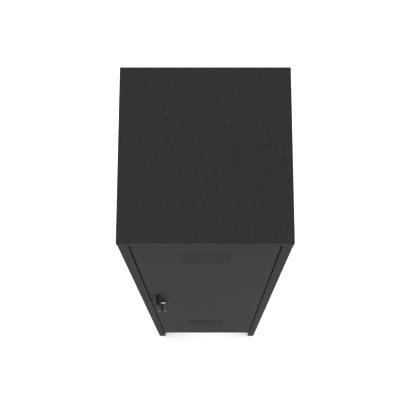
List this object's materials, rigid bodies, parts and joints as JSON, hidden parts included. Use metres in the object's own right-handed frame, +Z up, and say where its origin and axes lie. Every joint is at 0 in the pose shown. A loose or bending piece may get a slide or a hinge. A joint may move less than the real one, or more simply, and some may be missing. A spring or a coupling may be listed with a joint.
{
  "type": "locker cabinet",
  "caption": "Tall narrow steel locker with one louvred door, a grip handle, a cam lock with its key, a hat shelf and a coat rail, standing on folded legs.",
  "frame": {"origin": "on the floor, at the middle of the overall footprint (lid, handle and key included)", "axes": "+Z up; -Y is the front with the door; +X is the hinge side, on the right when facing the door"},
  "size_m": [0.382, 0.4376, 1.85],
  "materials": {
    "powder_coat": "fine-texture powder coat, satin",
    "black_plastic": "moulded, fine grain",
    "chrome": "bright plated",
    "zinc": "bright zinc plated",
    "key_steel": "nickel plated",
    "nylon": "natural nylon",
    "rubber": "soft, matt"
  },
  "bodies": {
    "cabinet": {"left_side_panel": "powder_coat", "right_side_panel": "powder_coat", "left_front_post": "powder_coat", "right_front_post": "powder_coat", "left_rear_post": "powder_coat", "right_rear_post": "powder_coat", "top_lid": "powder_coat", "back_panel": "powder_coat", "header_rail": "powder_coat", "bottom_rail": "powder_coat", "bottom_pan": "powder_coat", "hat_shelf": "powder_coat", "shelf_clips": "zinc", "hanging_rail": "chrome", "rail_sockets": "zinc", "leg_glides": "black_plastic", "upper_hinge_bush": "nylon", "lower_hinge_bush": "nylon", "door_buffers": "rubber"},
    "door": {"door_panel": "powder_coat", "door_stiffener": "powder_coat", "upper_pin_bracket": "zinc", "lower_pin_bracket": "zinc", "upper_hinge_pin": "zinc", "lower_hinge_pin": "zinc", "pull_handle": "black_plastic", "handle_screws": "zinc", "lock_barrel": "chrome", "lock_nut": "zinc"},
    "lock": {"lock_plug": "chrome", "lock_cam": "zinc", "cam_washer": "zinc", "cam_screw": "zinc"},
    "key": {"key_blade": "key_steel", "key_bow": "black_plastic"},
    "ring": {"key_ring": "key_steel"}
  },
  "joints": [
    {"name": "door_swing", "type": "hinge", "parent": "cabinet", "child": "door", "pos_m": [0.1542, -0.17725, 0.9855], "axis": [0, 0, 1], "range_deg": [0, 110]},
    {"name": "lock_turn", "type": "hinge", "parent": "door", "child": "lock", "pos_m": [-0.1324, -0.18225, 0.99], "axis": [0, 1, 0], "range_deg": [0, 90]},
    {"name": "key_pull", "type": "slide", "parent": "lock", "child": "key", "axis": [0, -1, 0], "range_m": [0, 0.025]},
    {"name": "ring_swing", "type": "hinge", "parent": "key", "child": "ring", "pos_m": [-0.1324, -0.21075, 0.99], "axis": [1, 0, 0], "range_deg": [-60, 25]}
  ]
}
